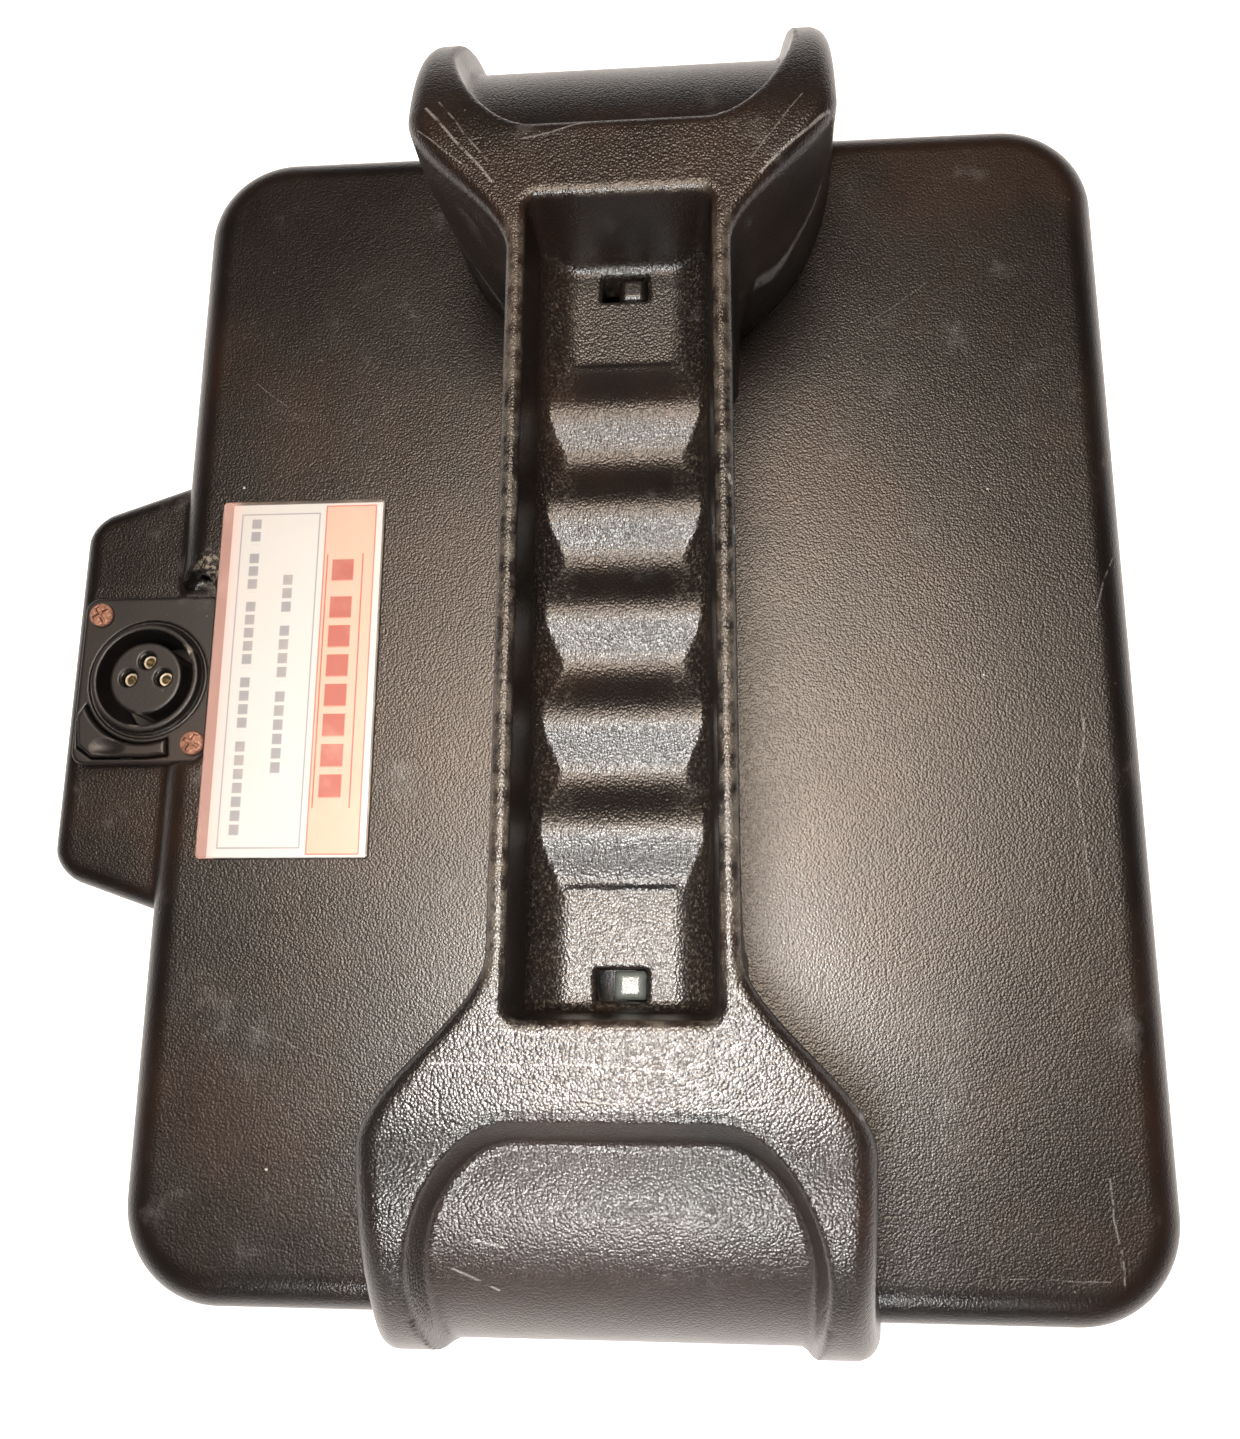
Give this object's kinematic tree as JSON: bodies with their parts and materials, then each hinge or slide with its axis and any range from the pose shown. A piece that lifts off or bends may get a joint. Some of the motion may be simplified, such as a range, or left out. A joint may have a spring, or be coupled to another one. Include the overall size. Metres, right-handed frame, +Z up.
{
  "type": "battery pack",
  "caption": "Carry-handle battery pack of a small mobility scooter: drafted black case, bridge handle with an open channel and finger waves, and a round charging socket on its side.",
  "frame": {"origin": "centre of the case's flat underside, on the surface it stands on", "axes": "+Z up, +Y along the case and its handle, -X towards the charging socket"},
  "size_m": [0.1906, 0.213, 0.17],
  "materials": {
    "case_plastic": "pebble-grained black ABS, worn and dusty",
    "handle_plastic": "pebble-grained black ABS with a satin shine",
    "socket_plastic": "smooth black glass-filled plastic",
    "rusty_screw": "plated steel gone rusty brown",
    "screw_steel": "zinc-plated steel",
    "contact_brass": "tinned brass",
    "label_film": "printed white film under clear laminate",
    "battery_container": "moulded dark ABS",
    "battery_lid": "moulded grey ABS",
    "foam": "closed-cell foam",
    "fuse_plastic": "tinted transparent plastic",
    "lead_red": "silicone insulation",
    "lead_black": "silicone insulation"
  },
  "bodies": {
    "pack": {"base_tray": "case_plastic", "battery_front_container": "battery_container", "battery_front_lid": "battery_lid", "battery_front_terminal_a": "contact_brass", "battery_front_terminal_b": "contact_brass", "battery_rear_container": "battery_container", "battery_rear_lid": "battery_lid", "battery_rear_terminal_a": "contact_brass", "battery_rear_terminal_b": "contact_brass", "blade_fuse": "fuse_plastic", "case_screw_1": "screw_steel", "case_screw_2": "screw_steel", "case_screw_3": "screw_steel", "case_screw_4": "screw_steel", "case_screw_5": "screw_steel", "case_screw_6": "screw_steel", "charge_lead_negative": "lead_black", "charge_lead_positive": "lead_red", "charge_socket_shell": "socket_plastic", "dock_connector": "socket_plastic", "dock_contact_1": "contact_brass", "dock_contact_2": "contact_brass", "dock_screw_1": "screw_steel", "dock_screw_2": "screw_steel", "foam_divider": "foam", "foam_pad_front": "foam", "foam_pad_rear": "foam", "fuse_holder": "socket_plastic", "fused_lead": "lead_red", "handle": "handle_plastic", "handle_screw_1": "screw_steel", "handle_screw_2": "screw_steel", "handle_screw_3": "screw_steel", "handle_screw_4": "screw_steel", "label": "label_film", "latch_spring": "screw_steel", "negative_lead": "lead_black", "positive_lead": "lead_red", "series_jumper": "lead_black", "socket_contact_1": "contact_brass", "socket_contact_2": "contact_brass", "socket_contact_3": "contact_brass", "socket_insert": "socket_plastic", "socket_screw_1": "rusty_screw", "socket_screw_2": "rusty_screw", "spade_cover_front_a": "lead_red", "spade_cover_front_b": "lead_red", "spade_cover_rear_a": "lead_red", "spade_cover_rear_b": "lead_red", "top_cover": "case_plastic"},
    "latch": {"latch_tab": "socket_plastic"}
  },
  "joints": [
    {"name": "latch_press", "type": "slide", "parent": "pack", "child": "latch", "axis": [0, 0, -1], "range_m": [0, 0.0012], "stiffness_N_per_m": 600, "deforming": ["latch_spring"]}
  ]
}
